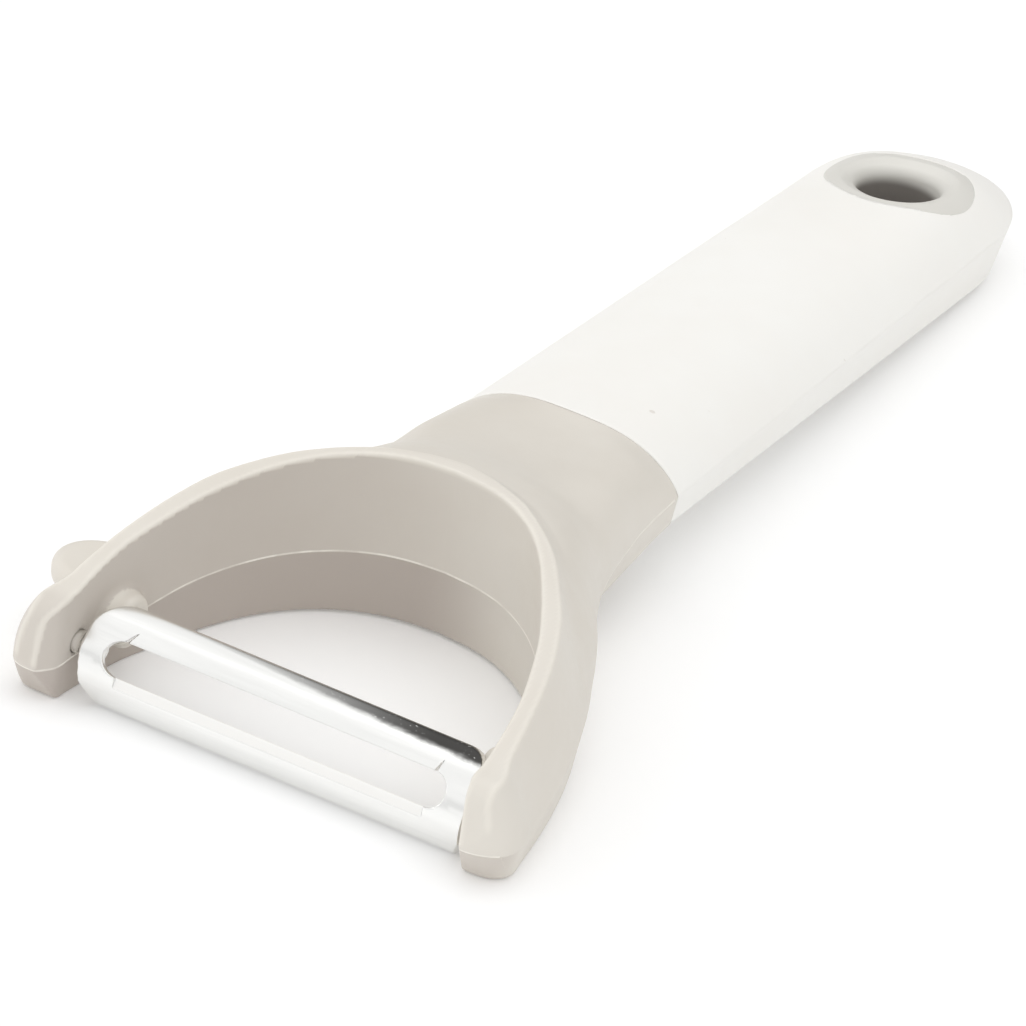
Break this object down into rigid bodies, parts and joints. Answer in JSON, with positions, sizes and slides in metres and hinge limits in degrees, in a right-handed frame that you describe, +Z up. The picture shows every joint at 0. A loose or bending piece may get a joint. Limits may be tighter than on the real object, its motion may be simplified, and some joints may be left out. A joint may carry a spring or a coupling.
{
  "type": "swivel vegetable peeler",
  "caption": "Y-shaped vegetable peeler: a slotted steel blade swivels between the yoke's two arms, ahead of a soft grip with a hanging eyelet.",
  "frame": {"origin": "middle of the bounding box's bottom, on the plane that the peeler lies on", "axes": "+Y from the blade to the handle's far end, +Z up from the side that it lies on, +X across the head, parallel to the blade's pivot axis"},
  "size_m": [0.07, 0.1818, 0.0231],
  "materials": {
    "yoke_plastic": "satin",
    "blade_steel": "polished",
    "tang_plastic": "matte",
    "soft_grip": "matte",
    "eyelet_plastic": "satin"
  },
  "bodies": {
    "body": {"yoke": "yoke_plastic", "handle_tang": "tang_plastic", "handle_sleeve": "soft_grip", "hanging_eyelet": "eyelet_plastic"},
    "blade": {"blade": "blade_steel"}
  },
  "joints": [
    {"name": "blade_swivel", "type": "hinge", "parent": "body", "child": "blade", "pos_m": [0.00208, -0.08297, 0.00656], "axis": [1, 0, 0], "range_deg": [-4, 70]}
  ]
}
